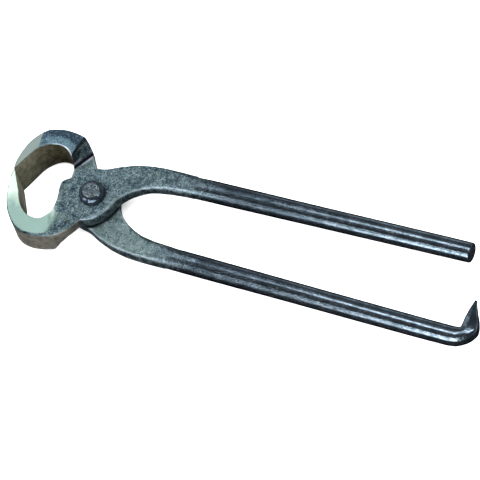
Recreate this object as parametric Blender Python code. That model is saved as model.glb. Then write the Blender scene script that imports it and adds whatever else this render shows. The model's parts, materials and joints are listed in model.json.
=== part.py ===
"""Farrier's hoof nipper: two forged arms that cross at a rivet and turn about it.

The tool lies flat. +X runs from the jaws to the handle ends, +Y towards the front arm's handle,
+Z is up, square to the plane in which the arms open. The pivot's axis is parallel to Z.
Lengths are in metres unless a name ends in _MM.
"""
import bmesh
import bpy
from math import cos, radians, sin, tau
from mathutils import Matrix, Vector

MM = 0.001

# Driving dimensions
JAW_HALF_WIDTH = 14.6 * MM      # half the length of the cutting edge
PLATE_THICKNESS = 8.5 * MM      # each arm at the joint
LAP_GAP = 0.3 * MM              # between the two lap faces
HEAD_GAP = 0.25 * MM            # between a plate and the rivet head on it
BOSS_RADIUS = 18.5 * MM         # round part of each plate
ROD_RADIUS = 6.45 * MM          # handle, halfway along
ROD_END_RADIUS = 6.2 * MM       # handle, at its end
ROD_END_X = 232.0 * MM          # plain handle end, from the pivot
ROD_END_Y = 27.3 * MM           # its distance from the tool's centre line
END_CHAMFER = 0.8 * MM
JAW_TIP_X = -50.8 * MM          # foremost point of the jaws
PICK_TIP_X = 254.0 * MM         # rearmost point of the pick

RIVET_SHANK_RADIUS = 4.0 * MM
RIVET_HOLE_RADIUS = 4.35 * MM
RIVET_HEAD_RADIUS = 8.2 * MM
RIVET_HEAD_HEIGHT = 4.6 * MM
RIVET_FLAT_RADIUS = 4.5 * MM

CORNER_STEPS = 3                # segments in each rounded corner of a section
SPLINE_STEPS = 2                # sections from one listed station to the next
ROUND_SEGMENTS = 32             # around the rivet and its hole
DOME_STEPS = 4                  # up the rounded side of a rivet head

# The origin is under the middle of the whole tool, on the surface it lies on.
PIVOT = Vector((-(JAW_TIP_X + PICK_TIP_X) / 2, 0.0, JAW_HALF_WIDTH))

FULL = 1.0                      # corner radius as a share of the largest that fits

# The cutting edges meet a little to the front arm's handle side of the tool's centre line.
FRONT_CUT_Y_MM, REAR_CUT_Y_MM = 1.15, -1.45

# Inner edge of each jaw after its cutting edge, in mm from the pivot. The front jaw is the thicker.
FRONT_JAW = [(-46.3, -5.2), (-43.0, -11.2), (-40.2, -17.0), (-37.2, -20.9), (-33.2, -23.6),
             (-28.6, -24.4), (-24.9, -23.6)]
REAR_JAW = [(-47.9, -5.2), (-45.0, -11.2), (-41.9, -17.0), (-38.4, -20.7), (-34.2, -23.2),
            (-29.2, -24.0), (-24.9, -22.7)]

# Outer edge of each arm's neck, in mm from the pivot: top and foot of the shoulder first, then
# the waist. The front arm's neck is the broader one.
FRONT_NECK = [(-15.2, -33.4), (-10.9, -30.8), (-6.6, -26.8), (-3.7, -22.2), (-1.4, -18.4)]
REAR_NECK = [(-18.2, -34.4), (-14.2, -31.4), (-11.3, -27.0), (-8.7, -22.8), (-4.2, -18.2)]


def station(outer, inner, low, high, round_outer, round_inner):
    """One section of an arm. Its two edge points are in the tool's plane, in mm from the pivot.

    outer is on the edge that starts outside the jaw and ends on the handle's inner side, inner is
    on the opposite edge. low and high are the heights of its lower and upper faces.
    """
    return {"outer": outer, "inner": inner, "low": low, "high": high,
            "round_outer": round_outer, "round_inner": round_inner}


def on_boss(angle):
    """A point on the plate's round part, in mm, at an angle from +X in degrees."""
    radius = BOSS_RADIUS / MM
    return (radius * cos(radians(angle)), radius * sin(radians(angle)))


def rod(x, radius, y):
    """A round section of the handle."""
    return station((x, y - radius), (x, y + radius), -radius, radius, FULL, FULL)


def jaw_stations(cut_y, inner_edge, ground_share):
    """From the cutting edge round the curved jaw to the shoulder of the lap.

    The last number of each row is how much can be ground off the jaw's upper side. ground_share is
    how much of that the smith took: all on the front arm, none on the rear one.
    """
    rows = [
        ((-50.4, cut_y), JAW_HALF_WIDTH / MM, 0.0),
        ((JAW_TIP_X / MM, -5.5), 14.3, 1.0),
        ((-50.1, -12.0), 13.9, 1.7),
        ((-47.9, -20.4), 13.3, 2.0),
        ((-43.5, -27.6), 12.8, 2.2),
        ((-38.1, -32.8), 12.2, 2.2),
        ((-32.0, -35.1), 11.5, 1.9),
        ((-25.2, -35.5), 10.7, 1.3),
    ]
    return [station(outer, inner, -half_width, half_width - ground * ground_share, 0.3, 0.15)
            for (outer, half_width, ground), inner in zip(rows, [(-49.9, cut_y)] + inner_edge)]


def neck_stations(outer_edge):
    """From the full-thickness jaw down the shoulder to the flat lap beside the boss."""
    inner_edge = [(-21.5, -19.6), (-20.9, -18.2), (-20.4, -16.2), (-20.2, -8.4), (-21.6, -0.5)]
    lap, plate = LAP_GAP / MM / 2, PLATE_THICKNESS / MM
    lows = [-plate, -3.6, lap, lap, lap]
    highs = [9.4, 8.9, 8.6, plate, plate]
    return [station(outer, inner, low, high, 0.35, 0.3)
            for outer, inner, low, high in zip(outer_edge, inner_edge, lows, highs)]


def plate_stations():
    """The flat half-thickness plate round the rivet."""
    edges = [
        ((3.4, -16.8), (-21.2, 3.8)),
        ((8.6, -12.9), on_boss(157)),
        ((12.8, -7.0), on_boss(131)),
        ((15.5, -0.4), (-4.0, 16.8)),
        ((20.2, 5.4), (2.3, 18.4)),
        ((25.4, 9.5), (9.4, 21.9)),
    ]
    return [station(outer, inner, LAP_GAP / MM / 2, PLATE_THICKNESS / MM, 0.4, 0.35)
            for outer, inner in edges]


def handle_root_stations():
    """Where the flat plate turns into a round rod, centred between the two plates."""
    return [
        station((31.0, 12.3), (18.8, 25.6), -0.6, 8.4, 0.55, 0.4),
        station((37.4, 14.5), (29.1, 28.1), -2.1, 8.0, 0.65, 0.5),
        station((45.8, 16.0), (41.4, 29.5), -3.8, 7.5, 0.75, 0.65),
        station((57.2, 16.9), (56.0, 30.3), -5.4, 7.0, 0.9, 0.85),
        rod(76.0, 6.7, 24.4),
        rod(130.0, ROD_RADIUS / MM, 25.4),
        rod(190.0, 6.35, 26.6),
    ]


def plain_end_stations():
    """The front arm's square-cut handle end."""
    x, y = ROD_END_X / MM, ROD_END_Y / MM
    radius, chamfer = ROD_END_RADIUS / MM, END_CHAMFER / MM
    return [rod(x - chamfer, radius, y), rod(x, radius - chamfer, y)]


def pick_end_stations():
    """The rear arm's handle end, bent inwards and drawn out to a blunt point."""
    return [
        rod(234.0, 6.2, 27.3),
        station((240.5, 21.1), (242.0, 33.0), -6.0, 6.0, FULL, FULL),
        station((242.5, 20.7), (247.8, 30.5), -5.9, 5.9, FULL, FULL),
        station((243.0, 19.9), (251.9, 26.3), -5.7, 5.7, FULL, FULL),
        station((243.1, 18.6), (PICK_TIP_X / MM, 21.0), -5.3, 5.3, FULL, FULL),
        station((243.2, 13.8), (252.3, 14.6), -4.3, 4.3, FULL, FULL),
        station((243.6, 8.2), (249.1, 8.4), -2.8, 2.8, FULL, FULL),
        station((244.6, 1.4), (246.2, 1.5), -1.0, 1.0, FULL, FULL),
    ]


def smooth_curve(before, start, end, after, t):
    """A point between start and end on a smooth curve through all four.

    Each tangent is scaled to the length of this stretch, so uneven spacing makes no bulge.
    """
    length = (end - start).length
    leaving = (end - before) * length / ((start - before).length + length)
    arriving = (after - start) * length / ((after - end).length + length)
    return (start * (2 * t ** 3 - 3 * t ** 2 + 1) + leaving * (t ** 3 - 2 * t ** 2 + t)
            + end * (3 * t ** 2 - 2 * t ** 3) + arriving * (t ** 3 - t ** 2))


def smooth_stations(stations):
    """Adds sections between the listed ones: smooth edges, straight changes of height."""
    last = len(stations) - 1
    result = []
    for i in range(last):
        around = [stations[min(max(k, 0), last)] for k in (i - 1, i, i + 1, i + 2)]
        for step in range(SPLINE_STEPS):
            t = step / SPLINE_STEPS
            section = {}
            for edge in ("outer", "inner"):
                section[edge] = smooth_curve(*[Vector(s[edge]) for s in around], t)
            for name in ("low", "high", "round_outer", "round_inner"):
                start, end = around[1][name], around[2][name]
                section[name] = start + (end - start) * t
            result.append(section)
    final = dict(stations[last])
    final["outer"], final["inner"] = Vector(final["outer"]), Vector(final["inner"])
    return result + [final]


def section_ring(section):
    """The rounded rectangle of one section, as points in metres."""
    inner, outer = section["inner"], section["outer"]
    across = outer - inner
    width = across.length
    height = section["high"] - section["low"]
    largest = 0.49 * min(width, height)
    corners = [
        (width, section["high"], section["round_outer"], 0),
        (0.0, section["high"], section["round_inner"], 90),
        (0.0, section["low"], section["round_inner"], 180),
        (width, section["low"], section["round_outer"], 270),
    ]
    points = []
    for along, z, share, start_angle in corners:
        radius = share * largest
        centre_along = along + (radius if along == 0 else -radius)
        centre_z = z + (radius if z == section["low"] else -radius)
        for step in range(CORNER_STEPS + 1):
            angle = radians(start_angle + 90 * step / CORNER_STEPS)
            point = inner + across * ((centre_along + radius * cos(angle)) / width)
            points.append(Vector((point.x, point.y, centre_z + radius * sin(angle))) * MM)
    return points


def finish_object(name, bm, material, pivot):
    """Makes a smooth-shaded object of a bmesh that is modelled about the pivot."""
    bmesh.ops.recalc_face_normals(bm, faces=bm.faces)
    mesh = bpy.data.meshes.new(name)
    bm.to_mesh(mesh)
    bm.free()
    mesh.materials.append(material)
    mesh.shade_smooth()
    mesh.set_sharp_from_angle(angle=radians(35))
    obj = bpy.data.objects.new(name, mesh)
    obj.parent = pivot
    bpy.context.collection.objects.link(obj)
    return obj


def steel(name, colour, roughness, metallic):
    material = bpy.data.materials.new(name)
    material.use_nodes = True
    shader = material.node_tree.nodes["Principled BSDF"]
    shader.inputs["Base Color"].default_value = (*colour, 1.0)
    shader.inputs["Roughness"].default_value = roughness
    shader.inputs["Metallic"].default_value = metallic
    return material


def make_arm(name, stations, material, pivot, turned):
    """Lofts an arm through its sections. The rear arm is turned half round the long axis."""
    rings = [section_ring(section) for section in smooth_stations(stations)]
    bm = bmesh.new()
    vertex_rings = [[bm.verts.new(point) for point in ring] for ring in rings]
    for ring, following in zip(vertex_rings, vertex_rings[1:]):
        for i in range(len(ring)):
            j = (i + 1) % len(ring)
            bm.faces.new((ring[i], ring[j], following[j], following[i]))
    bm.faces.new(vertex_rings[0])
    bm.faces.new(vertex_rings[-1])
    bmesh.ops.triangulate(bm, faces=bm.faces)
    if turned:
        bm.transform(Matrix.Rotation(radians(180), 4, "X"))
    return finish_object(name, bm, material, pivot)


def drill(arm, pivot):
    """Cuts the rivet's hole through an arm's plate."""
    bm = bmesh.new()
    bmesh.ops.create_cone(bm, cap_ends=True, segments=ROUND_SEGMENTS, radius1=RIVET_HOLE_RADIUS,
                          radius2=RIVET_HOLE_RADIUS, depth=6 * PLATE_THICKNESS)
    cutter = finish_object(arm.name + "_drill", bm, arm.data.materials[0], pivot)
    cutter.hide_render = True
    cutter.display_type = "WIRE"
    hole = arm.modifiers.new("rivet hole", "BOOLEAN")
    hole.operation = "DIFFERENCE"
    hole.solver = "EXACT"
    hole.object = cutter


def rivet_profile():
    """Half outline of the rivet from its lower centre to its upper centre: radius and height."""
    seat = PLATE_THICKNESS + HEAD_GAP
    upper = [(RIVET_SHANK_RADIUS, seat), (RIVET_HEAD_RADIUS, seat)]
    for step in range(1, DOME_STEPS + 1):
        angle = radians(90 * step / DOME_STEPS)
        radius = RIVET_FLAT_RADIUS + (RIVET_HEAD_RADIUS - RIVET_FLAT_RADIUS) * cos(angle)
        upper.append((radius, seat + RIVET_HEAD_HEIGHT * sin(angle)))
    lower = [(radius, -z) for radius, z in reversed(upper)]
    return lower + upper


def make_rivet(material, pivot):
    """Turns the rivet's outline about the pivot's axis. Both heads have a flat end."""
    bm = bmesh.new()
    rings = []
    for radius, z in rivet_profile():
        angles = [tau * k / ROUND_SEGMENTS for k in range(ROUND_SEGMENTS)]
        rings.append([bm.verts.new((radius * cos(a), radius * sin(a), z)) for a in angles])
    for ring, following in zip(rings, rings[1:]):
        for i in range(ROUND_SEGMENTS):
            j = (i + 1) % ROUND_SEGMENTS
            bm.faces.new((ring[i], ring[j], following[j], following[i]))
    bm.faces.new(rings[0])
    bm.faces.new(rings[-1])
    return finish_object("pivot_rivet", bm, material, pivot)


def main():
    for obj in list(bpy.data.objects):
        bpy.data.objects.remove(obj)

    pivot = bpy.data.objects.new("pivot_axis", None)
    pivot.location = PIVOT
    bpy.context.collection.objects.link(pivot)

    front_steel = steel("front_arm_forged_steel", (0.052, 0.070, 0.078), 0.45, 0.85)
    rear_steel = steel("rear_arm_forged_steel", (0.045, 0.062, 0.072), 0.45, 0.85)
    rivet_steel = steel("rivet_dark_steel", (0.022, 0.030, 0.042), 0.35, 0.85)

    front = jaw_stations(FRONT_CUT_Y_MM, FRONT_JAW, 1.0) + neck_stations(FRONT_NECK) + plate_stations()
    rear = jaw_stations(REAR_CUT_Y_MM, REAR_JAW, 0.0) + neck_stations(REAR_NECK) + plate_stations()
    front += handle_root_stations() + plain_end_stations()
    rear += handle_root_stations() + pick_end_stations()
    front_arm = make_arm("front_arm", front, front_steel, pivot, turned=False)
    rear_arm = make_arm("rear_arm", rear, rear_steel, pivot, turned=True)
    drill(front_arm, pivot)
    drill(rear_arm, pivot)
    make_rivet(rivet_steel, pivot)


main()
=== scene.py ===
# %% [markdown]
# # A farrier's hoof nipper
#
# The real tool has three pieces: two arms forged from carbon steel bar, and the rivet they turn on.
# A smith hammers each arm hot, so its skin is a dark, scaly oxide. The jaws are then ground bright,
# and years of drawing and handling leave the round handles smooth and dark.
#
# This lesson builds those three pieces at full size round a fixed frame, which gives their places and
# their joint. Each arm is lofted through cross-sections, as a smith would plan it in stations along
# the bar. Geometry Nodes then forge its skin and turn the rivet.

# %% Load the frame
import json
from math import cos, pi, radians, sin

import bmesh
import bpy
import numpy as np
from mathutils import Euler, Matrix, Vector


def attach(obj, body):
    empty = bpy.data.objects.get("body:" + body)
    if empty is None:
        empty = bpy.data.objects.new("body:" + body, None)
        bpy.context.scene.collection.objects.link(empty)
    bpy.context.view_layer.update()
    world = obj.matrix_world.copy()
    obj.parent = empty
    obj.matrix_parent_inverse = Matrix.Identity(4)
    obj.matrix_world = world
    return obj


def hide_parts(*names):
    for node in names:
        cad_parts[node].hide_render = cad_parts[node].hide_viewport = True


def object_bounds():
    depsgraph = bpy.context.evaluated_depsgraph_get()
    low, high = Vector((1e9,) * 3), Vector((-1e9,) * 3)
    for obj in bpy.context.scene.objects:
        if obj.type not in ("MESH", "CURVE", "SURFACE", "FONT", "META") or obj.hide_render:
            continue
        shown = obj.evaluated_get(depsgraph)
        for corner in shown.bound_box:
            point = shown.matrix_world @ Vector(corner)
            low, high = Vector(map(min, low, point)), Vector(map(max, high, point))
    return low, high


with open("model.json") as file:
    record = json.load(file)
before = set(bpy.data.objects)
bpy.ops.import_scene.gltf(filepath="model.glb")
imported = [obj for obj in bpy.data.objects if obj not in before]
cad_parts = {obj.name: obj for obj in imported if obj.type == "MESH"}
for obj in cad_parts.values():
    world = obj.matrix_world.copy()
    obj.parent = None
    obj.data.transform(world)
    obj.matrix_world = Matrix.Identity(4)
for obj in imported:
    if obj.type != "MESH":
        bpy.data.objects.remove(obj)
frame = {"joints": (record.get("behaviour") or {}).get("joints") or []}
cad_lowest, cad_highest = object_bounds()
MM = 0.001
PIVOT = Vector(frame["joints"][0]["pos_m"])
print("frame box in mm:", [round(v / MM, 1) for v in (*cad_lowest, *cad_highest)])

# %% [markdown]
# ## Small helpers
#
# Colours are written as the hex values that a paint program shows, and the shader wants linear light,
# so one function converts them. Another adds a shader or geometry node together with its settings and
# links, which keeps the node trees readable, and a third uses it for the node that maps one range to
# another. The last one turns a pattern's size in millimetres into a texture's scale, which counts
# repeats for each metre.

# %% Helpers


def colour(hex_code):
    """A shader colour from an sRGB hex value such as "8a939b"."""
    channels = [int(hex_code[i:i + 2], 16) / 255 for i in (0, 2, 4)]
    linear = [c / 12.92 if c <= 0.04045 else ((c + 0.055) / 1.055) ** 2.4 for c in channels]
    return (*linear, 1.0)


def add(tree, kind, inputs=None, **settings):
    """Adds a node. inputs maps a socket's name or number to a value, or to a socket to link."""
    node = tree.nodes.new(kind)
    for name, value in settings.items():
        setattr(node, name, value)
    for key, value in (inputs or {}).items():
        if isinstance(value, bpy.types.NodeSocket):
            tree.links.new(value, node.inputs[key])
        else:
            node.inputs[key].default_value = value
    return node


def between(tree, value, low, high, to_low=0.0, to_high=1.0):
    """Maps a value from one range to another, and keeps it inside the new range."""
    return add(tree, "ShaderNodeMapRange", {
        "Value": value, "From Min": low, "From Max": high, "To Min": to_low,
        "To Max": to_high}).outputs[0]


def per_mm(size):
    """The texture scale whose features are about size millimetres across."""
    return 1 / (size * MM)


print("a 5 mm pattern has the scale", round(per_mm(5.0)))

# %% [markdown]
# ## The camera
#
# The tool lies flat, and it is seen from above and to the right of its handles through a long lens,
# which keeps its lines nearly parallel. Three angles and a field width say all of that: how far round
# the camera stands, how high, how far it is rolled, and how much of the scene it takes in.

# %% Camera
VIEW_AZIMUTH = radians(41.1)
VIEW_ELEVATION = radians(60.0)
VIEW_ROLL = radians(-22.7)
VIEW_WIDTH = 282.8 * MM
VIEW_DISTANCE = 8.0
AIM = (cad_lowest + cad_highest) / 2 + Vector((-7.5, -1.5, 0)) * MM

camera_data = bpy.data.cameras.new("long_lens")
camera_data.lens = camera_data.sensor_width * VIEW_DISTANCE / VIEW_WIDTH
camera_data.clip_end = 2 * VIEW_DISTANCE
camera = bpy.data.objects.new("camera", camera_data)
turn = Euler((0, 0, VIEW_AZIMUTH)).to_matrix() @ Euler((pi / 2 - VIEW_ELEVATION, 0, 0)).to_matrix()
turn = turn @ Euler((0, 0, VIEW_ROLL)).to_matrix()
camera.matrix_world = Matrix.Translation(AIM + turn.col[2] * VIEW_DISTANCE) @ turn.to_4x4()
bpy.context.collection.objects.link(camera)
bpy.context.scene.camera = camera
print("lens in mm:", round(camera_data.lens))

# %% [markdown]
# ## The floor
#
# The tool lies on white paper. The steel shows what is round it, and a white floor in every reflection
# would wash out its dark lower edges, so glossy rays don't see the floor.

# %% Floor
FLOOR_SIZE = 12.0


def make_floor():
    """A pale matt table top that the tool lies on."""
    bm = bmesh.new()
    bmesh.ops.create_grid(bm, x_segments=1, y_segments=1, size=FLOOR_SIZE / 2)
    mesh = bpy.data.meshes.new("floor")
    bm.to_mesh(mesh)
    bm.free()
    material = bpy.data.materials.new("white_paper")
    material.use_nodes = True
    shader = material.node_tree.nodes["Principled BSDF"]
    shader.inputs["Base Color"].default_value = colour("f7f7f5")
    shader.inputs["Roughness"].default_value = 0.9
    shader.inputs["Specular IOR Level"].default_value = 0.0
    mesh.materials.append(material)
    floor = bpy.data.objects.new("floor", mesh)
    floor.location.z = cad_lowest.z
    floor.visible_glossy = False
    bpy.context.collection.objects.link(floor)
    return floor


make_floor()
print("floor width in m:", FLOOR_SIZE)

# %% [markdown]
# ## The room and the soft boxes
#
# Reflections make most of the look of polished steel, so each light has a line to draw. The overhead
# box draws the thin bright line along the top of each handle, and the front box the broad band below
# it. The two boxes on the left light the flat faces of the head. Between them the room stays dim, with
# a pale strip at its horizon, and that is what makes the steel look dark. A big ceiling panel keeps the
# paper white, and the steel doesn't reflect it.

# %% Room and soft boxes


def soft_box(name, direction, distance, width, height, power):
    """A soft light that faces the tool from the given direction. Its width lies along the handles."""
    data = bpy.data.lights.new(name, "AREA")
    data.shape = "RECTANGLE"
    data.size, data.size_y, data.energy = width, height, power
    light = bpy.data.objects.new(name, data)
    away = Vector(direction).normalized()
    light.location = AIM + away * distance
    across = (Vector((1, 0, 0)) - away * away.x).normalized()
    light.rotation_euler = Matrix((across, away.cross(across), away)).transposed().to_euler()
    light.visible_camera = False
    bpy.context.collection.objects.link(light)
    return light


def make_room():
    """A dim room with a pale horizon, as the world's light."""
    world = bpy.data.worlds.new("studio_room")
    world.use_nodes = True
    tree = world.node_tree
    tree.nodes.clear()
    place = add(tree, "ShaderNodeTexCoord")
    axes = add(tree, "ShaderNodeSeparateXYZ", {0: place.outputs["Generated"]})
    height = between(tree, axes.outputs["Z"], -1.0, 1.0)
    behind = between(tree, axes.outputs["Y"], -0.5, 0.6, 0.4, 1.7)
    ramp = add(tree, "ShaderNodeValToRGB", {0: height})
    stops = ramp.color_ramp.elements
    stops[0].position, stops[0].color = 0.0, colour("2b2e30")
    stops[1].position, stops[1].color = 1.0, colour("444f57")
    for position, shade in ((0.49, "2b2e30"), (0.5, "ffffff"), (0.57, "e4e7e8"), (0.63, "4d575e"),
                            (0.8, "333e45")):
        stop = stops.new(position)
        stop.color = colour(shade)
    back = add(tree, "ShaderNodeBackground", {"Color": ramp.outputs["Color"], "Strength": behind})
    add(tree, "ShaderNodeOutputWorld", {"Surface": back.outputs[0]})
    bpy.context.scene.world = world


make_room()
soft_box("overhead_box", (0.19, 0.15, 0.93), 1.2, 1.25, 0.24, 8.5)
soft_box("front_box", (0.12, -0.90, 0.36), 1.2, 0.95, 0.62, 19)
soft_box("front_left_box", (-0.70, -0.62, 0.36), 1.2, 0.40, 0.5, 7)
soft_box("left_box", (-0.62, 0.34, 0.70), 1.2, 0.5, 0.6, 6.5)
ceiling = soft_box("ceiling_fill", (0.0, 0.0, 1.0), 2.0, 4.0, 4.0, 320)
ceiling.visible_glossy = False
bpy.context.scene.view_settings.view_transform = "Standard"

# %% [markdown]
# ## Cross-sections of an arm
#
# Both arms start as the same forging, one of them turned half over, so they share most of one shape.
# Each station is a cut across the bar. Its two edge points lie in the plane of the tool, in mm from the
# pivot: the outer edge runs from the outside of the jaw to the handle's inner side. Then come the
# heights of the upper and lower faces at the inner edge, at a ridge between the edges, and at the outer
# edge. The upper face is the one that becomes the flat plate; the lower one steps down to the lap.

# %% Stations
AS_ROUND_AS_FITS = 99.0
BOSS_RADIUS = 18.5
LAP = 0.15
PLATE = 8.5


def station(outer, inner, high, low, ridge=(0.5, 0.5), corners=(1.0, 1.0, 1.0, 1.0)):
    """One cross-section. high and low are heights at the inner edge, the ridge and the outer edge.

    ridge says how far across the two ridges lie, from the inner edge. corners are the lengths of the
    rounding at the outer upper, inner upper, inner lower and outer lower corner.
    """
    return [*outer, *inner, *high, *low, *ridge, *corners]


def flat(outer, inner, high, low, round_outer, round_inner):
    """A section with flat faces."""
    corners = (round_outer, round_inner, round_inner, round_outer)
    return station(outer, inner, (high,) * 3, (low,) * 3, corners=corners)


def rod(x, radius, y):
    """A round section of the handle."""
    return flat((x, y - radius), (x, y + radius), radius, -radius, AS_ROUND_AS_FITS, AS_ROUND_AS_FITS)


def on_boss(angle):
    """A point on the round part of the plate, at an angle from +X in degrees."""
    return (BOSS_RADIUS * cos(radians(angle)), BOSS_RADIUS * sin(radians(angle)))


print("numbers in a station:", len(rod(0.0, 1.0, 0.0)))

# %% [markdown]
# ## The jaw
#
# The jaw is the widest part of the forging, and it curves round to the cutting edge. Its outside is the
# same on both arms. The front arm's upper side is ground down to a bevel that thins towards the edge.
# The rear arm's isn't, and its inner wall stands a little further out.

# %% Jaw
JAW_OUTER = [(-50.8, -5.5), (-50.1, -12.0), (-47.9, -20.4), (-43.5, -27.6), (-38.1, -32.8),
             (-32.0, -35.1), (-25.2, -35.5)]
FRONT_JAW = [(-46.3, -5.2), (-43.0, -11.2), (-40.2, -17.0), (-37.2, -20.9), (-33.2, -23.6),
             (-28.6, -24.4), (-24.9, -23.6)]
REAR_JAW = [(-47.9, -5.2), (-45.0, -11.2), (-41.9, -17.0), (-38.4, -20.7), (-34.2, -23.2),
            (-29.2, -24.0), (-24.9, -22.7)]
GROUND_SIDE = [(13.4, 13.3, 12.9), (12.4, 12.2, 11.3), (11.6, 11.3, 9.9), (10.9, 10.6, 8.8),
               (10.3, 10.0, 8.0), (9.8, 9.6, 7.7), (9.5, 9.4, 7.8)]
PLAIN_SIDE = [(14.3, 14.3, 14.0), (13.9, 13.9, 13.3), (13.3, 13.3, 12.5), (12.8, 12.8, 11.9),
              (12.1, 12.1, 11.1), (11.4, 11.4, 10.4), (10.6, 10.6, 9.7)]


def jaw(cut_y, inner_edge, upper):
    """The curved jaw, from the cutting edge to the top of the lap's shoulder."""
    lower = [(-14.2, -14.3, -14.2), (-13.8, -14.0, -13.9), (-13.3, -13.6, -13.3), (-12.6, -13.2, -12.5),
             (-12.0, -12.8, -11.6), (-11.3, -12.2, -10.8), (-10.5, -11.5, -10.0)]
    ridges = [(0.9, 0.5), (0.92, 0.5), (0.93, 0.5), (0.93, 0.48), (0.93, 0.46), (0.92, 0.45), (0.9, 0.45)]
    corners = [(0.3, 0.2, 0.2, 0.3), (0.5, 0.25, 0.25, 0.4), (0.6, 0.25, 0.3, 0.5), (0.7, 0.25, 0.5, 0.9),
               (0.8, 0.3, 0.9, 1.0), (1.0, 0.4, 1.3, 1.1), (1.2, 0.6, 1.5, 1.1)]
    edge = station((-50.4, cut_y), (-49.9, cut_y), (14.6,) * 3, (-14.6,) * 3,
                   corners=(0.1, 0.05, 0.05, 0.1))
    rows = zip(JAW_OUTER, inner_edge, upper, lower, ridges, corners)
    return [edge] + [station(*row) for row in rows]


print("stations in a jaw:", len(jaw(0.0, FRONT_JAW, GROUND_SIDE)))

# %% [markdown]
# ## The neck and the plate
#
# Behind the jaw the forging drops to half its thickness, so that the two arms can lie on each other.
# The neck is that step, and the plate is the flat half that the rivet goes through.

# %% Neck and plate
FRONT_NECK = [(-15.2, -33.4), (-10.9, -30.8), (-6.6, -26.8), (-3.7, -22.2), (-1.4, -18.4)]
REAR_NECK = [(-18.2, -34.4), (-14.6, -31.8), (-12.2, -28.2), (-8.7, -22.8), (-4.2, -18.2)]


def neck(outer_edge, root):
    """The shoulder, which drops from the full thickness of the jaw to the lap face."""
    inner_edge = [(-21.5, -19.6), (-20.9, -18.2), (-20.4, -16.2), (-20.2, -8.4), (-21.6, -0.5)]
    highs = [(root, root, root - 0.7), (8.9, 8.9, 8.5), (8.6, 8.6, 8.6), (PLATE,) * 3, (PLATE,) * 3]
    lows = [(-9.8, -10.6, -9.2), (-3.6, -3.9, -3.3), (LAP,) * 3, (LAP,) * 3, (LAP,) * 3]
    corners = [(1.5, 1.0, 1.4, 0.9), (1.5, 1.1, 0.9, 0.7), (1.5, 1.2, 0.5, 0.5),
               (1.5, 1.3, 0.5, 0.5), (1.6, 1.4, 0.5, 0.5)]
    rows = zip(outer_edge, inner_edge, highs, lows, corners)
    return [station(outer, inner, high, low, (0.85, 0.42), rounding)
            for outer, inner, high, low, rounding in rows]


def plate():
    """The flat plate round the rivet."""
    edges = [
        ((3.4, -16.8), (-21.2, 3.8)),
        ((8.6, -12.9), on_boss(157)),
        ((12.8, -7.0), on_boss(131)),
        ((15.5, -0.4), (-4.0, 16.8)),
        ((20.2, 5.4), (2.3, 18.4)),
        ((25.4, 9.5), (9.4, 21.9)),
    ]
    corners = (1.7, 1.3, 0.5, 0.6)
    return [station(outer, inner, (PLATE,) * 3, (LAP,) * 3, corners=corners) for outer, inner in edges]


print("stations in a neck and a plate:", len(neck(FRONT_NECK, 9.4)), "and", len(plate()))

# %% [markdown]
# ## The handles
#
# The plate narrows and rounds off into a rod. The front arm's rod ends in a small chamfer. The rear
# arm's is bent inwards and drawn out to a tapered pick. The parts then follow one another along the
# bar, and each arm has its list of stations.

# %% Handles


def handle():
    """Where the plate turns into a round rod, and the rod."""
    return [
        flat((31.0, 12.3), (18.8, 25.6), 8.4, -0.6, 2.3, 1.5),
        flat((37.4, 14.5), (29.1, 28.1), 8.0, -2.1, 3.1, 2.1),
        flat((45.8, 16.0), (41.4, 29.5), 7.5, -3.8, 4.2, 3.2),
        flat((57.2, 16.9), (56.0, 30.3), 7.0, -5.4, 5.6, 5.0),
        rod(76.0, 6.7, 24.4),
        rod(130.0, 6.45, 25.4),
        rod(190.0, 6.35, 26.6),
    ]


PLAIN_END = [
    rod(230.4, 6.2, 27.3),
    rod(231.2, 6.15, 27.3),
    rod(231.8, 5.75, 27.3),
    rod(232.0, 5.3, 27.3),
]


def pick_row(outer, inner, half, ridge, rounding):
    """A section of the pick. Its lower face, which the tool shows, rises to a ridge."""
    low = (-half * 0.75, -half, -half * 0.75)
    return station(outer, inner, (half * 0.8, half, half * 0.8), low, ridge, (rounding,) * 4)


PICK_END = [
    rod(234.0, 6.2, 27.3),
    station((240.5, 21.1), (242.0, 33.0), (6.0,) * 3, (-6.0,) * 3, corners=(5.5,) * 4),
    pick_row((242.5, 20.7), (247.8, 30.5), 5.9, (0.5, 0.5), 4.5),
    pick_row((243.0, 19.9), (251.9, 26.3), 5.7, (0.5, 0.52), 3.2),
    pick_row((243.1, 18.6), (254.0, 21.0), 5.3, (0.5, 0.55), 2.4),
    pick_row((243.2, 13.8), (252.3, 14.6), 4.3, (0.5, 0.55), 1.8),
    pick_row((243.6, 8.2), (249.1, 8.4), 2.8, (0.5, 0.5), 1.2),
    pick_row((244.3, 3.2), (246.8, 3.3), 1.4, (0.5, 0.5), 0.8),
    pick_row((244.6, 1.5), (246.1, 1.6), 0.8, (0.5, 0.5), 0.5),
]

front_stations = np.array(
    jaw(1.25, FRONT_JAW, GROUND_SIDE) + neck(FRONT_NECK, 9.4) + plate() + handle() + PLAIN_END)
rear_stations = np.array(
    jaw(-1.35, REAR_JAW, PLAIN_SIDE) + neck(REAR_NECK, 9.8) + plate() + handle() + PICK_END)
print("stations:", len(front_stations), "and", len(rear_stations))

# %% [markdown]
# ## From stations to many thin slices
#
# A loft needs far more slices than a person wants to write down. The edges follow a smooth curve
# through the listed points, and the heights change evenly in between. Slices lie closer together at the
# head, which has the detail, than along the plain rods.

# %% Slices
HEAD_SPACING = 0.6
ROD_SPACING = 1.0
ROD_FROM, ROD_TO = 60.0, 232.0


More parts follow.
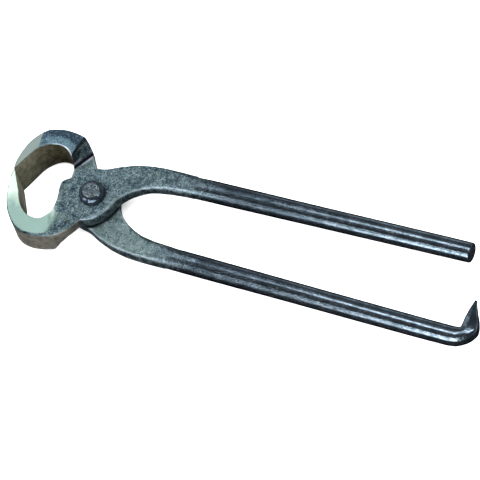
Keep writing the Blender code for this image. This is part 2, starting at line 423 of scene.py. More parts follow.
def smooth_curve(before, start, end, after, t):
    """Points between start and end on a smooth curve through all four."""
    length = np.linalg.norm(end - start)
    leaving = (end - before) * length / (np.linalg.norm(start - before) + length)
    arriving = (after - start) * length / (np.linalg.norm(after - end) + length)
    return (np.outer(2 * t ** 3 - 3 * t ** 2 + 1, start) + np.outer(t ** 3 - 2 * t ** 2 + t, leaving)
            + np.outer(3 * t ** 2 - 2 * t ** 3, end) + np.outer(t ** 3 - t ** 2, arriving))


def slices(stations):
    """Rows like the stations', close enough together to loft."""
    last = len(stations) - 1
    rows = []
    for i in range(last):
        around = [stations[min(max(k, 0), last)] for k in (i - 1, i, i + 1, i + 2)]
        start, end = around[1], around[2]
        reach = max(np.linalg.norm(end[:2] - start[:2]), np.linalg.norm(end[2:4] - start[2:4]))
        spacing = ROD_SPACING if ROD_FROM < start[0] and end[0] < ROD_TO else HEAD_SPACING
        steps = max(2, int(np.ceil(reach / spacing)))
        t = np.arange(steps) / steps
        part = np.outer(1 - t, start) + np.outer(t, end)
        part[:, 0:2] = smooth_curve(*[s[0:2] for s in around], t)
        part[:, 2:4] = smooth_curve(*[s[2:4] for s in around], t)
        rows.append(part)
    rows = np.vstack(rows + [stations[last:]])
    eased = rows.copy()
    eased[1:-1, 4:] = (rows[:-2, 4:] + 2 * rows[1:-1, 4:] + rows[2:, 4:]) / 4
    return eased


front_slices, rear_slices = slices(front_stations), slices(rear_stations)
print("slices:", len(front_slices), "and", len(rear_slices))

# %% [markdown]
# ## One slice as a ring of points
#
# Each slice is a six-cornered outline with rounded corners: four corners, and a ridge on the upper and
# the lower face. Every ring has the same number of points between the same corners, so neighbouring
# rings join up point to point, and an edge of the tool runs along an edge of the mesh.

# %% Rings
SIDE_POINTS = (26, 26, 26, 22, 22, 26)
ARC_POINTS = 9
RING = sum(SIDE_POINTS)
CORNER_AT = np.cumsum((0,) + SIDE_POINTS)


def rounded_corner(before, corner, after, length):
    """Points round a corner: a circle's arc where the corner is square."""
    to_before, to_after = before - corner, after - corner
    start = corner + to_before * (length / max(np.linalg.norm(to_before), 1e-9))
    end = corner + to_after * (length / max(np.linalg.norm(to_after), 1e-9))
    t = np.linspace(0, 1, ARC_POINTS)
    weights = np.array([(1 - t) ** 2, 2 * cos(pi / 4) * t * (1 - t), t ** 2])
    return (weights.T @ np.array([start, corner, end])) / weights.sum(axis=0)[:, None]


def ring_of(row):
    """A slice's points: how far each lies across from the inner edge, and its height."""
    width = np.hypot(row[0] - row[2], row[1] - row[3])
    high, low, ridge = row[4:7], row[7:10], row[10:12]
    outline = np.array([
        (width, high[2]), (width * ridge[0], high[1]), (0, high[0]),
        (0, low[0]), (width * ridge[1], low[1]), (width, low[2]),
    ])
    thickness = high[1] - low[1]
    limit = 0.4999 * min(width, thickness)
    wanted = [row[12], 1.0, row[13], row[14], 1.0, row[15]]
    lengths = [min(w, limit) for w in wanted]
    for k, (left, right) in ((1, (0, 2)), (4, (3, 5))):
        spare = min(np.linalg.norm(outline[k] - outline[n]) - lengths[n] for n in (left, right))
        lengths[k] = max(min(lengths[k], 0.98 * spare), 1e-4)
    arcs = [rounded_corner(outline[k - 1], outline[k], outline[(k + 1) % 6], lengths[k])
            for k in range(6)]
    path = np.vstack(arcs + [arcs[0]])
    travelled = np.concatenate([[0], np.cumsum(np.linalg.norm(np.diff(path, axis=0), axis=1))])
    middles = [travelled[k * ARC_POINTS + ARC_POINTS // 2] for k in range(7)]
    wanted_at = []
    for k, count in enumerate(SIDE_POINTS):
        u = np.arange(count) / count
        u = 0.75 * u + 0.25 * (1 - np.cos(pi * u)) / 2
        wanted_at.append(middles[k] + (middles[k + 1] - middles[k]) * u)
    wanted_at = np.concatenate(wanted_at)
    return np.column_stack([np.interp(wanted_at, travelled, path[:, i]) for i in (0, 1)])


print("points in a ring:", RING)

# %% [markdown]
# ## The bare forging
#
# The rings are joined into one closed skin, and each point keeps two numbers: how far along the bar its
# slice is, and where it sits round its ring. The second one says which face or corner it belongs to.

# %% Loft


def fade(values, start, end):
    """0 before start, 1 after end, and a smooth change between."""
    t = np.clip((values - start) / (end - start), 0, 1)
    return t * t * (3 - 2 * t)


def loft(rows):
    """Points in mm and quads of an arm, with each point's slice and its place round the ring."""
    points = []
    for row in rows:
        ring = ring_of(row)
        inner, outer = row[2:4], row[0:2]
        share = ring[:, :1] / max(np.linalg.norm(outer - inner), 1e-9)
        points.append(np.hstack([inner + (outer - inner) * share, ring[:, 1:]]))
    along = np.repeat(np.arange(len(rows)), RING)
    around = np.tile(np.arange(RING), len(rows))
    points = np.vstack(points)
    quads = []
    for i in range(len(rows) - 1):
        a = i * RING + np.arange(RING)
        b = i * RING + (np.arange(RING) + 1) % RING
        quads.append(np.column_stack([a, b, b + RING, a + RING]))
    return points, np.vstack(quads), along, around


def on_jaw(points):
    return (points[:, 0] < -15) & (points[:, 1] < 3)


def on_lower_face(around):
    return (around >= CORNER_AT[3]) & (around <= CORNER_AT[5])


print("points in the front arm's loft:", RING * len(front_slices))

# %% [markdown]
# ## Where the jaw is ground
#
# The grinder touches two places: the jaw's upper side, where its mark fades out towards the plate, and
# the lower side near the cutting edge, where it leaves a flat facet that ends on a straight line.

# %% Ground faces
FACET_LINE = ((-41.9, -29.1), (-41.3, -18.3))
FACET_CORNER = (-50.2, -1.5, -14.5)
FACET_SLOPE = (-0.03, -0.055)
FACET_LOWEST = -14.58
GROUND_CENTRE = (-38.0, -24.0)


def past_facet(points):
    """How far in mm a point lies beyond the line where the flat ground facet ends."""
    (x1, y1), (x2, y2) = FACET_LINE
    length = np.hypot(x2 - x1, y2 - y1)
    return ((points[:, 0] - x1) * (y2 - y1) - (points[:, 1] - y1) * (x2 - x1)) / length


def facet_height(points):
    """The height of the flat facet that is ground on the jaw's lower face."""
    height = (FACET_CORNER[2] + FACET_SLOPE[0] * (points[:, 0] - FACET_CORNER[0])
              + FACET_SLOPE[1] * (points[:, 1] - FACET_CORNER[1]))
    return np.maximum(height, FACET_LOWEST)


def ground_note(points, along, around, rows):
    """1 where the jaw is ground bright, fading out from the middle of its upper side."""
    x, y = points[:, 0], points[:, 1]
    upper_side = (around >= CORNER_AT[1]) & (around <= CORNER_AT[2])
    from_centre = np.hypot(x - GROUND_CENTRE[0], y - GROUND_CENTRE[1])
    ending = 1 - 0.65 * fade(from_centre, 18.5, 22.5) - 0.35 * fade(from_centre, 22, 34)
    ending = np.maximum(ending, x < GROUND_CENTRE[0])
    facet = on_lower_face(around) * (past_facet(points) < 0.05) * (rows[along, 0] < -30)
    return np.maximum(upper_side * ending, facet) * on_jaw(points) * (along > 0)


print("the facet's height at its corner:", FACET_CORNER[2])

# %% [markdown]
# ## What the smith did where, and where light and shade are painted
#
# While the loft still knows which corner of the section each point came from, these notes are written
# down on the mesh: which faces are ground, which are the rough walls of the jaw, which edges have wear
# and a painted highlight, where shade is painted dark into creases and highlights are painted bright,
# and how burnished the handle is. The material reads them later as attributes.

# %% Notes
COLLAR_RADIUS = 10.4
SHOULDER_TOP, SHOULDER_FOOT = -9.4, -0.4
BEHIND_JAW, ALONG_HANDLE = -14.0, 45.0


def painted_shade_note(points, along, around, rows, shoulder, foot):
    """Painted shade: dark on the shoulder's top and foot, and along the foot of the other arm's plate."""
    x = points[:, 0]
    lower = on_lower_face(around)
    painted_shade = lower * np.maximum(0.8 * (abs(along - shoulder) <= 1), abs(along - foot) <= 1)
    other_edge = rows[rows[:, 0] > BEHIND_JAW, 0:2] * (1, -1)
    near = np.flatnonzero(lower & (x > BEHIND_JAW) & (x < ALONG_HANDLE))
    gap = np.linalg.norm(points[near, None, 0:2] - other_edge[None], axis=2).min(axis=1)
    painted_shade[near] = np.maximum(painted_shade[near], 1 - fade(gap, 0.6, 1.8))
    return painted_shade


def painted_highlight_note(along, around, rows, inner_half, shoulder, foot):
    """Painted highlights: bright lines beside the shoulder, and along the throat's edge."""
    outer_half = on_lower_face(around) * (1 - inner_half)
    painted_highlight = outer_half * (abs(along - foot - 3) <= 1) * 0.4
    painted_highlight = np.maximum(painted_highlight, inner_half * (abs(along - foot + 4) <= 1) * 0.6)
    by_throat = 0.8 * fade(rows[along, 0], -36, -22) * (along <= shoulder)
    from_edge = abs(around - CORNER_AT[3] - 1)
    return np.maximum(painted_highlight, by_throat * (1 - np.clip(from_edge / 3, 0, 1)))


def edge_note(around):
    """Corners of the section that wear has bared and that carry a painted highlight, each over a few points
    to either side.
    """
    edge = np.zeros(len(around))
    for k, reach in ((0, 5), (2, 2), (3, 5), (5, 4)):
        away = np.minimum(abs(around - CORNER_AT[k]), RING - abs(around - CORNER_AT[k]))
        edge = np.maximum(edge, 1 - np.clip(away / reach, 0, 1))
    return edge


def notes(points, along, around, rows):
    """Every note, with a value from 0 to 1 for each point."""
    x, y = points[:, 0], points[:, 1]
    lower = on_lower_face(around)
    inner_wall = (around > CORNER_AT[2]) & (around < CORNER_AT[3])
    outer_wall = around > CORNER_AT[5]
    inner_half = lower * fade(CORNER_AT[4] - around, -4, 4)
    jaw_part = on_jaw(points) * fade(-rows[along, 0] - rows[along, 1], 30, 42)
    neck_part = (y < 0) * fade(-x, 0, 5)
    shoulder = np.flatnonzero(rows[:, 7] > SHOULDER_TOP)[0]
    foot = np.flatnonzero(rows[:, 7] > SHOULDER_FOOT)[0]
    ground = ground_note(points, along, around, rows)
    burnish = fade(x, 38, 82)
    from_pivot = np.hypot(x, y)
    collar = 1 - fade(from_pivot, COLLAR_RADIUS - 0.6, COLLAR_RADIUS + 0.6)
    lap = (points[:, 2] < 0.4) & (from_pivot < BOSS_RADIUS + 0.6)
    return {
        "ground": ground,
        "inner_wall": jaw_part * inner_wall,
        "outer_wall": neck_part * outer_wall,
        "edge": edge_note(around) * (1 - burnish),
        "burnish": burnish,
        "forged": (1 - ground) * (1 - 0.8 * burnish) * (1 - 0.8 * collar) * (1 - lap),
        "painted_shade": painted_shade_note(points, along, around, rows, shoulder, foot),
        "dressed": lower * (along > foot + 1) * (1 - fade(x, 40, 60)),
        "painted_highlight": painted_highlight_note(along, around, rows, inner_half, shoulder, foot),
        "tip": fade(y, -26, -7),
        "inner_half": inner_half,
        "drawn": lower * (along < shoulder),
    }


print("collar radius in mm:", COLLAR_RADIUS)

# %% [markdown]
# ## Two bare arms
#
# Each arm is lofted, its facet is ground flat, and its notes go on the mesh as attributes. The rear arm
# is the one that is turned half round its length.

# %% Bare arms


def grind_facet(points, around, rows, along):
    """Grinds the flat facet on the jaw's lower face, and eases the forged face away from it."""
    lower = on_lower_face(around) & (rows[along, 0] < -30) & (points[:, 1] < 3)
    keep = fade(past_facet(points), 0.0, 7.0)
    plane = facet_height(points)
    points[lower, 2] = (plane + (points[:, 2] - plane) * keep)[lower]


def bare_arm(name, rows, turned):
    """An arm as a mesh in metres, in its place. The rear arm is turned half round its length."""
    points, quads, along, around = loft(rows)
    grind_facet(points, around, rows, along)
    marks = notes(points, along, around, rows)
    if turned:
        points = points * (1, -1, -1)
    points = points * MM + np.array(PIVOT)
    faces = quads.tolist()
    faces.append(list(range(RING)))
    faces.append(list(range(len(points) - RING, len(points))))
    mesh = bpy.data.meshes.new(name)
    mesh.from_pydata(points.tolist(), [], faces)
    for mark, values in marks.items():
        mesh.attributes.new(mark, "FLOAT", "POINT").data.foreach_set("value", values.astype(float))
    bm = bmesh.new()
    bm.from_mesh(mesh)
    bmesh.ops.recalc_face_normals(bm, faces=bm.faces)
    bm.to_mesh(mesh)
    bm.free()
    mesh.shade_smooth()
    arm = bpy.data.objects.new(name, mesh)
    bpy.context.collection.objects.link(arm)
    print(name, "points:", len(points))
    return arm


front_arm = bare_arm("front_arm_forging", front_slices, turned=False)
rear_arm = bare_arm("rear_arm_forging", rear_slices, turned=True)

# %% [markdown]
# ## Names for common nodes
#
# The finishes below use the same few nodes again and again, so each of them gets a short function that
# returns the socket to carry on from.

# %% Node functions


def noise(tree, place, size, detail=3.0, roughness=0.55, distortion=0.0):
    """The value of a noise whose features are about size millimetres across."""
    return add(tree, "ShaderNodeTexNoise", {
        "Vector": place, "Scale": per_mm(size), "Detail": detail, "Roughness": roughness,
        "Distortion": distortion}).outputs["Fac"]


def blend(tree, amount, first, second):
    """A mix of two colours."""
    mix = add(tree, "ShaderNodeMix", data_type="RGBA")
    for socket, value in ((mix.inputs[0], amount), (mix.inputs[6], first), (mix.inputs[7], second)):
        if isinstance(value, bpy.types.NodeSocket):
            tree.links.new(value, socket)
        else:
            socket.default_value = value
    return mix.outputs[2]


def maths(tree, operation, first, second=0.0, third=0.0):
    """The result of one sum."""
    return add(tree, "ShaderNodeMath", {0: first, 1: second, 2: third}, operation=operation).outputs[0]


def attribute(tree, name):
    """A note that the loft left on the mesh."""
    return add(tree, "ShaderNodeAttribute", attribute_name=name).outputs["Fac"]


print("node functions:", [f.__name__ for f in (noise, blend, maths, attribute)])

# %% [markdown]
# ## Finishes: forged scale
#
# Hot steel grows a skin of iron oxide. Hammering breaks it up and drives it in, so it ends up as a
# patchwork of dark and slightly lighter flakes, with ridges where one flake laps over another. Two
# noises make the patches and the flakes. A third makes the ridges: they lie where a twisted noise
# crosses its middle value, which gives thin curved lines. They are raised in the height, and their pale
# colour is a painted highlight. A finish is a colour, a roughness and a height, so that finishes can be
# mixed before they reach a shader.

# %% Forged scale


def forged_scale(tree, place, dark, middle, light):
    """Hammered oxide: dark patches, lighter flakes, thin curved ridges painted pale as highlights, and a
    few bright specks.
    """
    patches = noise(tree, place, 5.0, 5, 0.6, 0.3)
    flakes = noise(tree, place, 1.5, 3, 0.65, 1.2)
    grain = noise(tree, place, 0.8, 2)
    lines = maths(tree, "ABSOLUTE", maths(tree, "SUBTRACT", noise(tree, place, 3.0, 2, 0.5, 2.5), 0.5))
    ridges = between(tree, lines, 0.0, 0.045, 1.0, 0.0)
    ridges = maths(tree, "MULTIPLY", ridges, between(tree, patches, 0.42, 0.6))
    tone = blend(tree, between(tree, patches, 0.36, 0.64), colour(dark), colour(middle))
    tone = blend(tree, between(tree, flakes, 0.48, 0.62), tone, colour(light))
    tone = blend(tree, between(tree, flakes, 0.44, 0.34, 0.0, 0.5), tone, colour("141d23"))
    # Painted highlight: the ridges are raised in the height and also painted pale, as the glints they
    # catch.
    tone = blend(tree, maths(tree, "MULTIPLY", ridges, 0.75), tone, colour("b3c3c6"))
    rust = between(tree, noise(tree, place, 7.0, 3), 0.55, 0.7, 0.0, 0.45)
    tone = blend(tree, rust, tone, colour("5b6a5e"))
    specks = between(tree, grain, 0.66, 0.74, 0.0, 0.8)
    tone = blend(tree, specks, tone, colour("c3cdd0"))
    height = maths(tree, "ADD", maths(tree, "MULTIPLY", flakes, 1.4), maths(tree, "MULTIPLY", ridges, 0.5))
    height = maths(tree, "ADD", height, maths(tree, "MULTIPLY", grain, 0.4))
    return {"colour": tone, "roughness": between(tree, flakes, 0.3, 0.7, 0.36, 0.6), "height": height}


print("forged scale takes three tones: dark, middle and light")

# %% [markdown]
# ## Finishes: ground, burnished, drawn and filed
#
# A belt grinder leaves fine parallel lines on bare steel, which scatter light into a pale satin. The
# rods were drawn smooth and then handled, so they reflect long streaks, broken up by small pits. The
# bar of the jaw was drawn out with lighter blows, so its scale is finer and bluer. The walls inside and
# outside the jaw were only filed, and keep a brown, matt skin.

# %% Other finishes


def ground_steel(tree, place, far, near):
    """Bare steel from the belt grinder, with fine lines across the jaw, paler near the cutting edge."""
    lines = add(tree, "ShaderNodeMapping", {"Vector": place, "Rotation": (0, 0, radians(25)),
                                            "Scale": (0.12, 1.0, 0.5)}).outputs[0]
    scratches = noise(tree, lines, 0.35, 3, 0.6)
    cloud = between(tree, noise(tree, place, 7.0, 2), 0.35, 0.65, -0.15, 0.15)
    paler = between(tree, maths(tree, "ADD", attribute(tree, "tip"), cloud), 0.1, 0.9)
    tone = blend(tree, paler, colour(far), colour(near))
    return {"colour": tone, "roughness": between(tree, scratches, 0.3, 0.7, 0.5, 0.6),
            "height": maths(tree, "MULTIPLY", scratches, 0.12)}


def burnished_rod(tree, place):
    """Dark steel, pitted near the head, and smoothed by hands towards the ends, where they hold it."""
    along = add(tree, "ShaderNodeMapping", {"Vector": place, "Scale": (0.06, 1.0, 1.0)}).outputs[0]
    streaks = noise(tree, along, 0.9, 3, 0.6)
    way = add(tree, "ShaderNodeSeparateXYZ", {0: place}).outputs["X"]
    hand_wear_and_highlight = between(tree, way, -20 * MM, 70 * MM)
    pits = between(tree, noise(tree, place, 0.9, 3, 0.6), 0.5, 0.66)
    pits = maths(tree, "MULTIPLY", pits, between(tree, hand_wear_and_highlight, 0.0, 1.0, 1.0, 0.5))
    soot = noise(tree, place, 6.0, 4)
    tone = blend(tree, between(tree, soot, 0.4, 0.6), colour("505d66"), colour("6a7782"))
    tone = blend(tree, between(tree, hand_wear_and_highlight, 0.0, 1.0, 0.55, 0.0), tone, colour("26333c"))
    tone = blend(tree, maths(tree, "MULTIPLY", pits, 0.8), tone, colour("182026"))
    height = maths(tree, "SUBTRACT", maths(tree, "MULTIPLY", streaks, 0.12),
                   maths(tree, "MULTIPLY", pits, 0.3))
    return {"colour": tone, "roughness": between(tree, streaks, 0.3, 0.7, 0.1, 0.2), "height": height}


def drawn_face(tree, place):
    """The curved bar of the jaw, drawn out under the hammer: blue outside, and painted paler on its inner
    half, which faces the light.
    """
    cloud = noise(tree, place, 4.0, 4)
    grain = noise(tree, place, 0.9, 3, 0.6)
    # Painted light: the inner half is painted paler than the outer half, as the side of the ridge that
    # faces the light.
    tone = blend(tree, attribute(tree, "inner_half"), colour("36495a"), colour("4f6873"))
    tone = blend(tree, between(tree, cloud, 0.4, 0.62, 0.0, 0.6), tone, colour("253540"))
    tone = blend(tree, between(tree, grain, 0.52, 0.7, 0.0, 0.6), tone, colour("8ea0a6"))
    return {"colour": tone, "roughness": between(tree, grain, 0.3, 0.7, 0.4, 0.5), "height": grain}


def filed_wall(tree, place, dark, light):
    """The jaw's walls: a brown, matt skin."""
    patches = noise(tree, place, 3.0, 5, 0.65)
    tone = blend(tree, between(tree, patches, 0.38, 0.62), colour(dark), colour(light))
    return {"colour": tone, "roughness": between(tree, patches, 0.3, 0.7, 0.5, 0.65),
            "height": maths(tree, "MULTIPLY", patches, 0.8)}


print("finishes:", [f.__name__ for f in (ground_steel, burnished_rod, drawn_face, filed_wall)])

# %% [markdown]
# ## An arm's steel
#
# One finish goes over another wherever a note says so, in the order in which the smith worked: scale
# first, then wear on the edges, which is also a painted highlight, the drawn rod, the filed walls and
# the ground faces. Painted highlights and painted shade in the creases go on last. The result drives one
# metal shader. The two arms use the same recipe in their own tones.

# %% Arm materials


def layer(tree, amount, under, over):
    """Puts one finish over another by an amount from 0 to 1."""
    mixed = {"colour": blend(tree, amount, under["colour"], over["colour"])}
    for part in ("roughness", "height"):
        mix = add(tree, "ShaderNodeMix", {0: amount, 2: under[part], 3: over[part]})
        mixed[part] = mix.outputs[0]
    return mixed


def steel_shader(tree, finish, metallic, depth):
    """The Principled shader of a finish. depth is how far its bumps reach, in mm."""
    bump = add(tree, "ShaderNodeBump", {"Height": finish["height"], "Distance": depth * MM,
                                        "Strength": 1.0})
    shader = add(tree, "ShaderNodeBsdfPrincipled", {
        "Base Color": finish["colour"], "Roughness": finish["roughness"], "Metallic": metallic,
        "Normal": bump.outputs[0]})
    add(tree, "ShaderNodeOutputMaterial", {"Surface": shader.outputs[0]})


def arm_material(name, forged, ground, wall_at_tip):
    """An arm's steel: forged all over, then finished where the notes say."""
    material = bpy.data.materials.new(name)
    material.use_nodes = True
    tree = material.node_tree
    tree.nodes.clear()
    place = add(tree, "ShaderNodeTexCoord").outputs["Object"]
    finish = forged_scale(tree, place, *forged)
    dressed = forged_scale(tree, place, "36474a", "56696a", "7b8e8e")
    finish = layer(tree, attribute(tree, "dressed"), finish, dressed)
    finish = layer(tree, attribute(tree, "drawn"), finish, drawn_face(tree, place))
    # Edge wear and painted highlight: the corners are painted a pale steel, partly wear and partly the
    # highlight that their rounding catches.
    edge_wear_and_highlight = dict(finish, colour=colour("98a6b2"), roughness=0.34)
    patchy = between(tree, noise(tree, place, 2.4, 3), 0.35, 0.6, 0.15, 0.7)
    finish = layer(tree, maths(tree, "MULTIPLY", attribute(tree, "edge"), patchy), finish, edge_wear_and_highlight)
    finish = layer(tree, attribute(tree, "burnish"), finish, burnished_rod(tree, place))
    wall = layer(tree, attribute(tree, "tip"), filed_wall(tree, place, "3d3a2a", "6a664f"),
                 filed_wall(tree, place, *wall_at_tip))
    finish = layer(tree, attribute(tree, "inner_wall"), finish, wall)
    finish = layer(tree, attribute(tree, "outer_wall"), finish, filed_wall(tree, place, "7d7b74", "a3a097"))
    ragged = maths(tree, "MULTIPLY_ADD", noise(tree, place, 1.6, 3), 0.5, -0.25)
    ragged = between(tree, maths(tree, "ADD", attribute(tree, "ground"), ragged), 0.3, 0.7)
    finish = layer(tree, ragged, finish, ground_steel(tree, place, *ground))
    # Painted highlight: pale lilac, glossy lines beside the shoulder and along the throat's edge.
    hand_wear_and_highlight = dict(finish, colour=colour("d9d6e6"), roughness=0.3)
    finish = layer(tree, attribute(tree, "painted_highlight"), finish, hand_wear_and_highlight)
    # Painted shade: the creases and the strip under the other arm's plate are painted near black.
    finish = layer(tree, attribute(tree, "painted_shade"), finish, dict(finish, colour=colour("0a0d10")))
    steel_shader(tree, finish, 0.97, 0.2)
    return material


# Painted light: the front arm's filed wall takes much paler tones near the tip than the rear arm's, because
# it faces the light.
front_steel = arm_material("front_arm_forged_steel", forged=("18242a", "35464e", "647b82"),
                           ground=("7d958e", "c2d3c8"), wall_at_tip=("c9c6ae", "e8e5d0"))
rear_steel = arm_material("rear_arm_forged_steel", forged=("19242b", "35464f", "647980"),
                          ground=("75817f", "75817d"), wall_at_tip=("b0ad94", "d2d0b8"))
print("arm materials:", front_steel.name, rear_steel.name)

# %% [markdown]
# ## The forged skin
#
# Hammer blows and scale are real relief, so they belong in the mesh as well as in the material. This
# tree of Geometry Nodes sinks each point along its normal by a coarse noise for the hammer's dents and
# a finer one for the scale. It only ever sinks, so the arm keeps its size and its clearances. It works
# on any mesh that has the "forged" note, and both arms share it.

# %% Forged skin tree


def forged_skin_tree():
    tree = bpy.data.node_groups.new("forged_skin", "GeometryNodeTree")
    face = tree.interface
    face.new_socket("Geometry", in_out="INPUT", socket_type="NodeSocketGeometry")
    for name, value in (("Dent Depth", 0.12), ("Dent Size", 9.0), ("Scale Depth", 0.1), ("Scale Size", 2.2),
                        ("Seed", 0.0)):
        face.new_socket(name, in_out="INPUT", socket_type="NodeSocketFloat").default_value = value
    face.new_socket("Steel", in_out="INPUT", socket_type="NodeSocketMaterial")
    face.new_socket("Geometry", in_out="OUTPUT", socket_type="NodeSocketGeometry")
    inlet = add(tree, "NodeGroupInput").outputs
    metres = {name: maths(tree, "MULTIPLY", inlet[name], MM)
              for name in ("Dent Depth", "Dent Size", "Scale Depth", "Scale Size")}
    shift = add(tree, "ShaderNodeCombineXYZ", {0: inlet["Seed"], 1: inlet["Seed"], 2: inlet["Seed"]})
    place = add(tree, "ShaderNodeVectorMath", {
        0: add(tree, "GeometryNodeInputPosition").outputs[0], 1: shift.outputs[0]}, operation="ADD")
    sunk = []
    for kind, detail, twist in (("Dent", 1.0, 0.0), ("Scale", 3.0, 1.2)):
        texture = add(tree, "ShaderNodeTexNoise", {
            "Vector": place.outputs[0], "Scale": maths(tree, "DIVIDE", 1.0, metres[f"{kind} Size"]),
            "Detail": detail, "Distortion": twist})
        sunk.append(maths(tree, "MULTIPLY", between(tree, texture.outputs[0], 0.3, 0.7),
                          metres[f"{kind} Depth"]))
    total = maths(tree, "ADD", *sunk)
    note = add(tree, "GeometryNodeInputNamedAttribute", {"Name": "forged"}, data_type="FLOAT")
    total = maths(tree, "MULTIPLY", total, note.outputs[0])
    inwards = add(tree, "ShaderNodeVectorMath", {0: add(tree, "GeometryNodeInputNormal").outputs[0],
                                                 "Scale": maths(tree, "MULTIPLY", total, -1.0)},
                  operation="SCALE")
    moved = add(tree, "GeometryNodeSetPosition", {"Geometry": inlet["Geometry"],
                                                  "Offset": inwards.outputs[0]})
    whole = add(tree, "GeometryNodeRealizeInstances", {0: moved.outputs[0]})
    coated = add(tree, "GeometryNodeSetMaterial", {"Geometry": whole.outputs[0],
                                                   "Material": inlet["Steel"]})
    add(tree, "NodeGroupOutput", {0: coated.outputs[0]})
    return tree


skin = forged_skin_tree()
print("forged skin nodes:", len(skin.nodes))

# %% [markdown]
# ## Drilled and forged
#
# Each arm is bored for the rivet, and then the skin runs over it. A modifier's result is turned into a
# plain mesh each time, so nothing is left to be worked out later.

# %% Drill and forge
HOLE_RADIUS = 4.35


def set_inputs(modifier, values):
    """Sets a Geometry Nodes modifier's inputs by their sockets' identifiers."""
    for item in modifier.node_group.interface.items_tree:
        if item.in_out == "INPUT" and item.name in values:
            modifier[item.identifier] = values[item.name]


def as_plain_mesh(obj, name):
    """The object's evaluated shape as a new plain object. The old one is removed."""
    obj.update_tag()
    shape = obj.evaluated_get(bpy.context.evaluated_depsgraph_get())
    mesh = bpy.data.meshes.new_from_object(shape)
    mesh.name = name
    plain = bpy.data.objects.new(name, mesh)
    bpy.context.collection.objects.link(plain)
    obj.modifiers.clear()
    bpy.data.objects.remove(obj)
    return plain


def drill(arm, name):
    """Bores the rivet hole through an arm."""
    bpy.ops.mesh.primitive_cylinder_add(vertices=96, radius=HOLE_RADIUS * MM, depth=60 * MM,
                                        location=PIVOT)
    bit = bpy.context.object
    cut = arm.modifiers.new("rivet hole", "BOOLEAN")
    cut.operation, cut.solver, cut.object = "DIFFERENCE", "EXACT", bit
    drilled = as_plain_mesh(arm, name)
    bpy.data.objects.remove(bit)
    return drilled


def forge(arm, name, steel, seed):
    """Runs the forged skin over an arm."""
    modifier = arm.modifiers.new("forged skin", "NODES")
    modifier.node_group = skin
    set_inputs(modifier, {"Seed": seed, "Steel": steel})
    return as_plain_mesh(arm, name)


front_arm = forge(drill(front_arm, "front_arm_drilled"), "front_arm_forged", front_steel, 0.31)
rear_arm = forge(drill(rear_arm, "rear_arm_drilled"), "rear_arm_forged", rear_steel, 0.77)
print("forged:", len(front_arm.data.polygons), "and", len(rear_arm.data.polygons), "faces")

# %% [markdown]
# ## The rivet
#
# A rivet is a turned shape, so a rule gives it whole: take a flat grid, wrap its columns round the
# pivot, and let its rows climb from one head's centre along the shank to the other's. The heads are
# domed and end in a flat that the hammer has peened, so a little noise goes on top of the rule.

# %% Rivet tree
RIVET = {"Head Radius": 8.2, "Flat Radius": 4.3, "Shank Radius": 4.0, "Seat Height": 8.75,
         "Head Height": 4.6, "Peening": 0.16}


def rivet_profile(tree, inlet, climb):
    """The radius and height in mm, as climb goes from -1 at one head's centre to 1 at the other's."""
    reach = maths(tree, "ABSOLUTE", climb)
    up_shank = between(tree, reach, 0.0, 0.2)
    across_seat = between(tree, reach, 0.2, 0.35)
    up_dome = between(tree, reach, 0.35, 0.75, 0.0, pi / 2)
    across_flat = between(tree, reach, 0.75, 1.0)
    overhang = maths(tree, "SUBTRACT", inlet["Head Radius"], inlet["Shank Radius"])
    shoulder = maths(tree, "SUBTRACT", inlet["Head Radius"], inlet["Flat Radius"])
    radius = maths(tree, "ADD", inlet["Shank Radius"], maths(tree, "MULTIPLY", overhang, across_seat))
    lost = maths(tree, "SUBTRACT", 1.0, maths(tree, "COSINE", up_dome))
    radius = maths(tree, "SUBTRACT", radius, maths(tree, "MULTIPLY", shoulder, lost))
    radius = maths(tree, "SUBTRACT", radius, maths(tree, "MULTIPLY", inlet["Flat Radius"], across_flat))
    height = maths(tree, "MULTIPLY", inlet["Seat Height"], up_shank)
    risen = maths(tree, "MULTIPLY", inlet["Head Height"], maths(tree, "SINE", up_dome))
    height = maths(tree, "MULTIPLY", maths(tree, "ADD", height, risen), maths(tree, "SIGN", climb))
    return radius, height


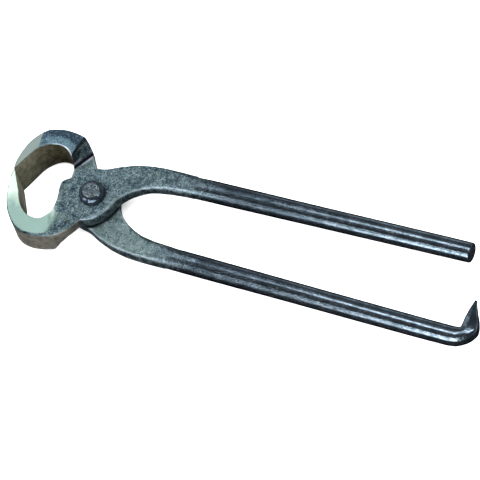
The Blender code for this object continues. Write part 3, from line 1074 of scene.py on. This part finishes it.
def rivet_tree():
    tree = bpy.data.node_groups.new("turned_rivet", "GeometryNodeTree")
    face = tree.interface
    for name, value in RIVET.items():
        face.new_socket(name, in_out="INPUT", socket_type="NodeSocketFloat").default_value = value
    face.new_socket("Steel", in_out="INPUT", socket_type="NodeSocketMaterial")
    face.new_socket("Geometry", in_out="OUTPUT", socket_type="NodeSocketGeometry")
    inlet = add(tree, "NodeGroupInput").outputs
    grid = add(tree, "GeometryNodeMeshGrid", {"Size X": 2.0, "Size Y": 2.0, "Vertices X": 129,
                                              "Vertices Y": 201})
    spot = add(tree, "ShaderNodeSeparateXYZ", {0: add(tree, "GeometryNodeInputPosition").outputs[0]})
    turn_by = maths(tree, "MULTIPLY", spot.outputs[0], pi)
    radius, height = rivet_profile(tree, inlet, spot.outputs[1])
    turned = add(tree, "ShaderNodeCombineXYZ", {
        0: maths(tree, "MULTIPLY", radius, maths(tree, "COSINE", turn_by)),
        1: maths(tree, "MULTIPLY", radius, maths(tree, "SINE", turn_by)), 2: height})
    shaped = add(tree, "GeometryNodeSetPosition", {"Geometry": grid.outputs["Mesh"],
                                                   "Position": turned.outputs[0]})
    closed = add(tree, "GeometryNodeMergeByDistance", {"Geometry": shaped.outputs[0], "Distance": 0.001})
    hammered = add(tree, "ShaderNodeTexNoise", {"Scale": 0.55, "Detail": 3.0})
    depth = maths(tree, "MULTIPLY", between(tree, hammered.outputs[0], 0.3, 0.7), inlet["Peening"])
    sunk = add(tree, "ShaderNodeVectorMath", {0: add(tree, "GeometryNodeInputNormal").outputs[0],
                                              "Scale": maths(tree, "MULTIPLY", depth, -1.0)},
               operation="SCALE")
    peened = add(tree, "GeometryNodeSetPosition", {"Geometry": closed.outputs[0],
                                                   "Offset": sunk.outputs[0]})
    sized = add(tree, "GeometryNodeTransform", {"Geometry": peened.outputs[0], "Translation": PIVOT,
                                                "Scale": (MM, MM, MM)})
    whole = add(tree, "GeometryNodeRealizeInstances", {0: sized.outputs[0]})
    coated = add(tree, "GeometryNodeSetMaterial", {"Geometry": whole.outputs[0],
                                                   "Material": inlet["Steel"]})
    add(tree, "NodeGroupOutput", {0: coated.outputs[0]})
    return tree


turned_rivet = rivet_tree()
print("turned rivet nodes:", len(turned_rivet.nodes))

# %% [markdown]
# ## The rivet's steel
#
# The rivet set polishes the dome's side, and the hammer leaves scale on its flat top. A distance from
# the rivet's axis tells the shader which is which.

# %% Rivet material and rivet


def rivet_material():
    """Dark blued steel, polished on the dome's side by the rivet set and matt on its peened top."""
    material = bpy.data.materials.new("rivet_blued_steel")
    material.use_nodes = True
    tree = material.node_tree
    tree.nodes.clear()
    place = add(tree, "ShaderNodeTexCoord").outputs["Object"]
    flat = add(tree, "ShaderNodeMapping", {"Vector": place, "Location": (-PIVOT.x, -PIVOT.y, 0),
                                           "Scale": (1, 1, 0)}).outputs[0]
    out = add(tree, "ShaderNodeVectorMath", {0: flat}, operation="LENGTH").outputs["Value"]
    top = between(tree, out, (RIVET["Flat Radius"] + 1.1) * MM, (RIVET["Flat Radius"] + 0.3) * MM)
    side = {"colour": blend(tree, between(tree, noise(tree, place, 2.5), 0.4, 0.6), colour("2b343e"),
                            colour("3f4954")),
            "roughness": between(tree, noise(tree, place, 1.2), 0.3, 0.7, 0.14, 0.22),
            "height": maths(tree, "MULTIPLY", noise(tree, place, 1.6, 3), 0.4)}
    finish = layer(tree, top, side, forged_scale(tree, place, "12181c", "262f35", "46535a"))
    steel_shader(tree, finish, 0.9, 0.12)
    return material


seed_mesh = bpy.data.meshes.new("rivet_blank")
rivet = bpy.data.objects.new("rivet_blank", seed_mesh)
bpy.context.collection.objects.link(rivet)
modifier = rivet.modifiers.new("turned rivet", "NODES")
modifier.node_group = turned_rivet
set_inputs(modifier, {**RIVET, "Steel": rivet_material()})
rivet = as_plain_mesh(rivet, "rivet_peened")
bm = bmesh.new()
bm.from_mesh(rivet.data)
bmesh.ops.recalc_face_normals(bm, faces=bm.faces)
bm.to_mesh(rivet.data)
bm.free()
rivet.data.shade_smooth()
print("rivet faces:", len(rivet.data.polygons))

# %% [markdown]
# ## Joining the frame
#
# Each finished piece takes the place of its plain solid and moves with the same body. The front arm
# swings on the pivot, and the rear arm carries the rivet.

# %% Ride on the frame
for piece, body, node, slot in ((front_arm, "front_arm", "front_arm", "front_arm_steel"),
                                (rear_arm, "rear_arm_and_rivet", "rear_arm", "rear_arm_steel"),
                                (rivet, "rear_arm_and_rivet", "pivot_rivet", "rivet_steel")):
    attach(piece, body)
    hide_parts(node)
